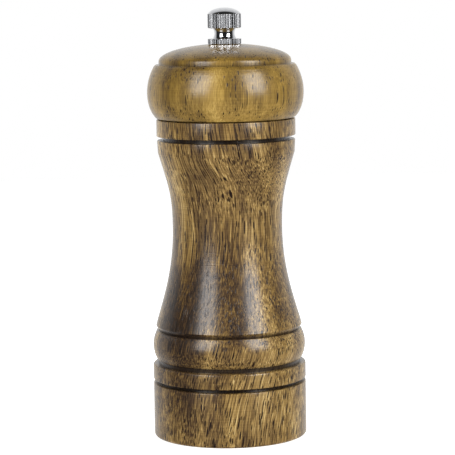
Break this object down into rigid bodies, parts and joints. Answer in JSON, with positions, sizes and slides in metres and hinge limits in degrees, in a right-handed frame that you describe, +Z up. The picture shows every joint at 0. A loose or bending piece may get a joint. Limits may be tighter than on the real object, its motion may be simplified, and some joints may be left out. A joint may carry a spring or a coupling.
{
  "type": "pepper mill",
  "caption": "Turned wooden pepper mill with a waisted body, a ball head that turns it, a knurled thumb nut and a ceramic grinder.",
  "frame": {"origin": "centre of the foot's underside, where the mill's axis meets the surface it stands on", "axes": "+Z up along the mill's axis, towards the thumb nut"},
  "size_m": [0.0514, 0.0514, 0.1414],
  "materials": {
    "stained_wood": "stained, satin lacquer",
    "chrome": "polished plating",
    "steel": "bright zinc plated",
    "bronze": "sintered bearing bronze",
    "ceramic": "sintered alumina",
    "plastic": "moulded acetal"
  },
  "bodies": {
    "mill_body": {"body": "stained_wood", "stator_housing": "plastic", "stator": "ceramic", "bearing_bush": "bronze", "retaining_ring": "steel", "retaining_screw_1": "steel", "retaining_screw_2": "steel", "retaining_screw_3": "steel"},
    "drive": {"thrust_washer": "steel", "spring": "steel"},
    "grinder": {"shaft": "steel", "rotor_hub": "plastic", "rotor": "ceramic", "rotor_washer": "steel", "rotor_nut": "steel"},
    "cap": {"head": "stained_wood", "drive_plate": "steel", "drive_plate_screw_1": "steel", "drive_plate_screw_2": "steel", "drive_plate_screw_3": "steel"},
    "knob": {"thumb_nut": "chrome"}
  },
  "joints": [
    {"name": "head_turn", "type": "hinge", "parent": "mill_body", "child": "drive", "pos_m": [0, 0, 0.1054], "axis": [0, 0, 1], "continuous": true},
    {"name": "grind_adjust", "type": "slide", "parent": "drive", "child": "grinder", "axis": [0, 0, 1], "range_m": [-0.0014, 0.0005], "deforming": ["spring"]},
    {"name": "head_lift", "type": "slide", "parent": "drive", "child": "cap", "axis": [0, 0, 1], "range_m": [0, 0.055]},
    {"name": "nut_turn", "type": "hinge", "parent": "cap", "child": "knob", "pos_m": [0, 0, 0.12971], "axis": [0, 0, 1], "range_deg": [-270, 720]}
  ],
  "couplings": [
    {"joint": "nut_turn", "follows": "grind_adjust", "rad_per_m": -8975.9}
  ]
}
